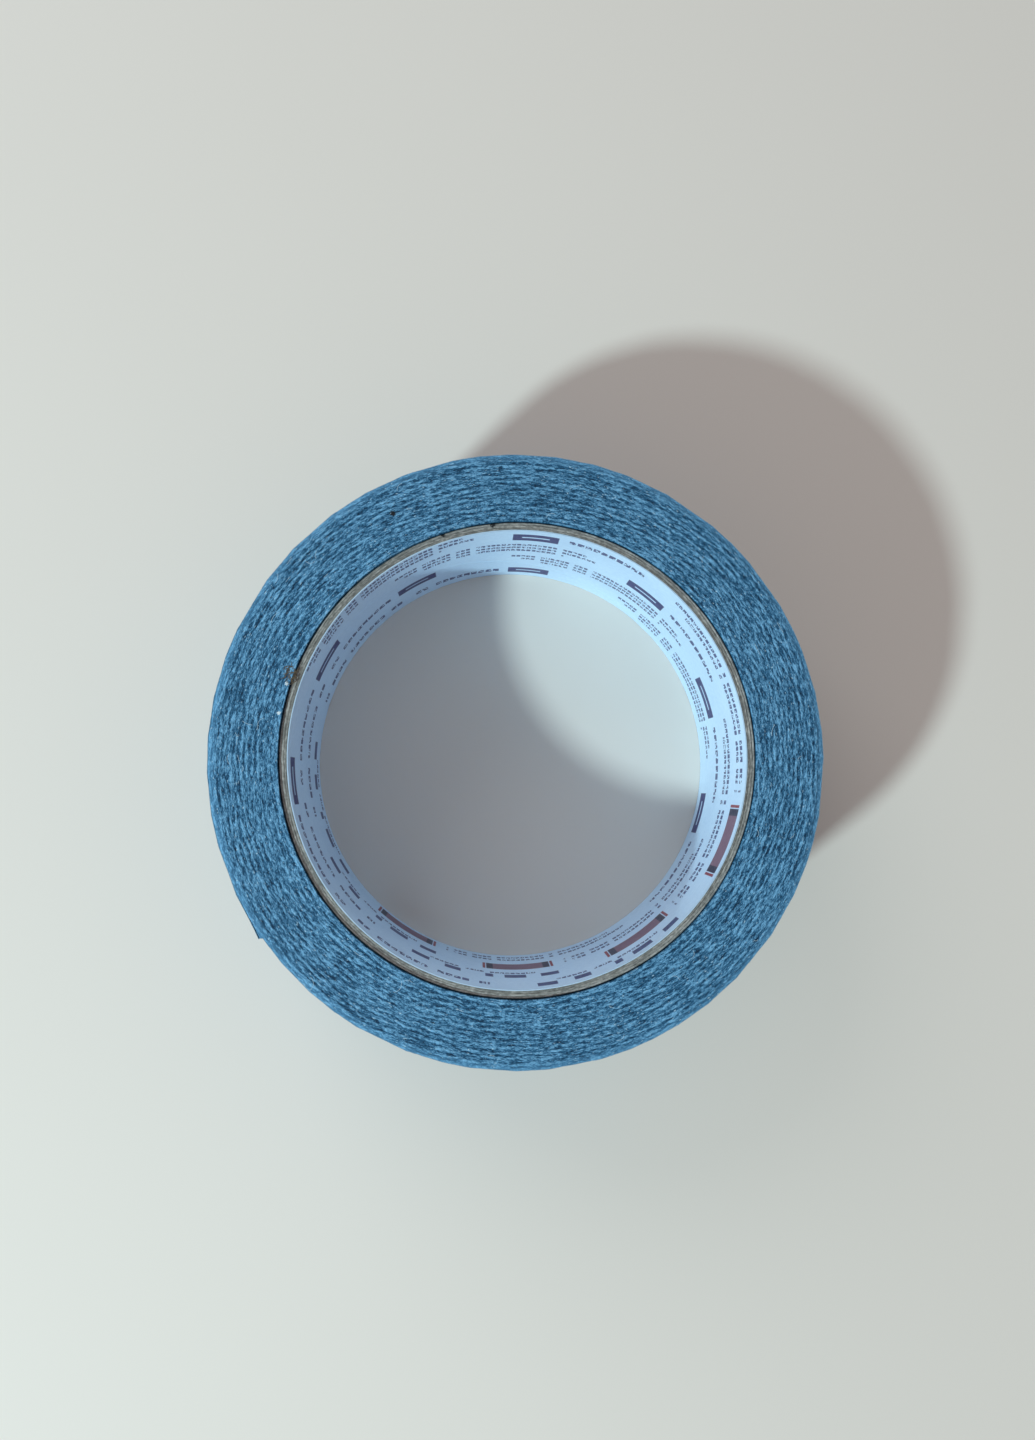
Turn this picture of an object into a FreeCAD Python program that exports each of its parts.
"""Roll of crepe masking tape on a spiral-wound paper core.

The roll lies flat. The origin is on the roll's axis at its lower face, and +Z runs along the axis.
Angles are in degrees about +Z from +X, counter-clockwise seen from above. Lengths are in millimetres.
"""
import FreeCAD, Part
import math
import os

from FreeCAD import Vector

# Core: a printed liner and three chipboard plies around a three inch bore
BORE_RADIUS = 38.1
LINER_THICKNESS = 0.18
BOARD_THICKNESS = 0.46
CORE_RADIUS = BORE_RADIUS + LINER_THICKNESS + 3 * BOARD_THICKNESS

# The core is flush with the roll's lower face and sits a little under its upper face
TAPE_WIDTH = 36.0
CORE_RECESS = 0.45
CORE_LENGTH = TAPE_WIDTH - CORE_RECESS

# Every ply is a strip wound at the same lead, with a narrow butt seam between its turns
SEAM_LEAD = 92.0
SEAM_WIDTH = 0.3
LINER_SEAM_ANGLE = 185.0
INNER_SEAM_ANGLE = 109.0
MIDDLE_SEAM_ANGLE = 300.0
OUTER_SEAM_ANGLE = 60.0

# Tape: a crepe paper backing with an adhesive coat on its inner face, wound on the core with a hair's play
BACKING_THICKNESS = 0.10
ADHESIVE_THICKNESS = 0.04
LAP_THICKNESS = BACKING_THICKNESS + ADHESIVE_THICKNESS
ROLL_RADIUS = 51.3
CORE_FIT = 0.01

# Free end: the last stretch of the outer lap, in equal lengths hinged one to the next
TIP_ANGLE = 215.0
TAIL_LENGTHS = 4
LENGTH_SPAN = 15.0
TAIL_SPAN = TAIL_LENGTHS * LENGTH_SPAN
PEEL_GAP = 0.03
CREASE_GAP = 0.04
LIP_LIFT = 0.5
LIP_SPAN = 13.0
ARC_STEP = 5.0


def polar(radius, angle):
    """Point at a radius and an angle in the plane of the lower face."""
    turn = math.radians(angle)
    return Vector(radius * math.cos(turn), radius * math.sin(turn), 0)


def ring(inner_radius, outer_radius):
    """Straight tube as long as the core."""
    outside = Part.makeCylinder(outer_radius, CORE_LENGTH)
    return outside.cut(Part.makeCylinder(inner_radius, CORE_LENGTH))


def seam_slot(inner_radius, outer_radius, seam_angle):
    """Helical slot that runs past both ends of the core and reaches its upper end at seam_angle."""
    over = 1.0
    height = CORE_LENGTH + 2 * over
    middle_radius = (inner_radius + outer_radius) / 2
    reach = (outer_radius - inner_radius) / 2 + 0.2
    start_angle = seam_angle - 360 * (CORE_LENGTH + over) / SEAM_LEAD
    spine = Part.Wire(Part.makeHelix(SEAM_LEAD, height, middle_radius).Edges)
    rise = math.atan2(SEAM_LEAD, 2 * math.pi * middle_radius)
    across = Vector(0, -math.sin(rise), math.cos(rise)) * (SEAM_WIDTH / 2)
    middle = Vector(middle_radius, 0, 0)
    radial = Vector(reach, 0, 0)
    corners = [middle - radial - across, middle + radial - across,
               middle + radial + across, middle - radial + across]
    section = Part.makePolygon(corners + corners[:1])
    sweep = Part.BRepOffsetAPI.MakePipeShell(spine)
    sweep.setBiNormalMode(Vector(0, 0, 1))
    sweep.add(section)
    sweep.build()
    sweep.makeSolid()
    slot = sweep.shape()
    slot.rotate(Vector(0, 0, 0), Vector(0, 0, 1), start_angle)
    slot.translate(Vector(0, 0, -over))
    return slot


def wound_ply(inner_radius, thickness, seam_angle):
    """One core ply: a tube slit along its helical butt seam."""
    outer_radius = inner_radius + thickness
    tube = ring(inner_radius, outer_radius)
    return tube.cut(seam_slot(inner_radius, outer_radius, seam_angle)).Solids[0]


def lap_radius(angle, laps_down):
    """Outer radius of the spiral at an angle, counted back from the tip at TIP_ANGLE + 360.

    The web climbs by one lap thickness per turn, so the radius falls away behind the tip.
    """
    turns_back = (TIP_ANGLE + 360 - angle) / 360
    return ROLL_RADIUS - LAP_THICKNESS * (laps_down + turns_back)


def lip_lift(angle):
    """How far the free end stands off the roll: a thin gap that opens towards the tip."""
    into_lip = max(0.0, angle - (TIP_ANGLE + 360 - LIP_SPAN)) / LIP_SPAN
    return PEEL_GAP + LIP_LIFT * into_lip ** 2


def curve(start, end, radius_at):
    """Edges of smooth arcs that follow radius_at from one angle to another."""
    count = math.ceil(abs(end - start) / ARC_STEP)
    step = (end - start) / count
    edges = []
    for n in range(count):
        first = start + n * step
        angles = (first, first + step / 2, first + step)
        points = [polar(radius_at(angle), angle) for angle in angles]
        edges.append(Part.Arc(*points).toShape())
    return edges


def strip(start, end, inner_at, outer_at):
    """Band of web between two radius functions, as wide as the tape."""
    outline = curve(start, end, outer_at)
    outline.append(Part.makeLine(polar(outer_at(end), end), polar(inner_at(end), end)))
    outline += curve(end, start, inner_at)
    outline.append(Part.makeLine(polar(inner_at(start), start), polar(outer_at(start), start)))
    return Part.Face(Part.Wire(outline)).extrude(Vector(0, 0, TAPE_WIDTH))


def web_layers(start, end, lift_at):
    """Backing and adhesive of the outer lap between two angles, lifted off the roll by lift_at."""
    def outside(angle):
        return lap_radius(angle, 0) + lift_at(angle)

    def between(angle):
        return outside(angle) - BACKING_THICKNESS

    def inside(angle):
        return outside(angle) - LAP_THICKNESS

    return strip(start, end, between, outside), strip(start, end, inside, between)


def wound_laps():
    """All laps under the last one, tight on the core."""
    start = TIP_ANGLE
    end = TIP_ANGLE + 360
    outline = curve(start, end, lambda angle: lap_radius(angle, 1))
    outline.append(Part.makeLine(polar(lap_radius(end, 1), end), polar(lap_radius(start, 1), start)))
    laps = Part.Face(Part.Wire(outline)).extrude(Vector(0, 0, TAPE_WIDTH))
    return laps.cut(Part.makeCylinder(CORE_RADIUS + CORE_FIT, TAPE_WIDTH)).Solids[0]


def core():
    """The four plies of the core, from the bore outwards."""
    plies = {"bore_liner": wound_ply(BORE_RADIUS, LINER_THICKNESS, LINER_SEAM_ANGLE)}
    board = (("core_inner_ply", INNER_SEAM_ANGLE),
             ("core_middle_ply", MIDDLE_SEAM_ANGLE),
             ("core_outer_ply", OUTER_SEAM_ANGLE))
    radius = BORE_RADIUS + LINER_THICKNESS
    for name, seam_angle in board:
        plies[name] = wound_ply(radius, BOARD_THICKNESS, seam_angle)
        radius += BOARD_THICKNESS
    return plies


def free_end():
    """The hinged lengths of the free end, numbered from the root to the tip."""
    lengths = {}
    root = TIP_ANGLE + 360 - TAIL_SPAN
    crease = math.degrees(CREASE_GAP / ROLL_RADIUS)
    for n in range(TAIL_LENGTHS):
        start = root + n * LENGTH_SPAN + crease / 2
        end = start + LENGTH_SPAN - crease
        backing, adhesive = web_layers(start, end, lip_lift)
        lengths["tail_backing_%d" % (n + 1)] = backing
        lengths["tail_adhesive_%d" % (n + 1)] = adhesive
    return lengths


def outer_lap():
    """The last lap up to the root of the free end, flat on the laps below."""
    root = TIP_ANGLE + 360 - TAIL_SPAN
    crease = math.degrees(CREASE_GAP / ROLL_RADIUS)
    backing, adhesive = web_layers(TIP_ANGLE, root - crease / 2, lambda angle: 0.0)
    return {"outer_lap_backing": backing, "outer_lap_adhesive": adhesive}


def main():
    nodes = core()
    nodes["wound_laps"] = wound_laps()
    nodes.update(outer_lap())
    nodes.update(free_end())
    os.makedirs("parts", exist_ok=True)
    for name, solid in nodes.items():
        solid.exportStep("parts/%s.step" % name)
        print(name, solid.ShapeType, solid.isValid(), len(solid.Solids), round(solid.Volume, 3))
    root = TIP_ANGLE + 360 - TAIL_SPAN
    for n in range(TAIL_LENGTHS):
        angle = root + n * LENGTH_SPAN
        hinge = polar(lap_radius(angle, 0) + lip_lift(angle), angle)
        print("hinge %d at x %.4f, y %.4f" % (n + 1, hinge.x, hinge.y))


main()
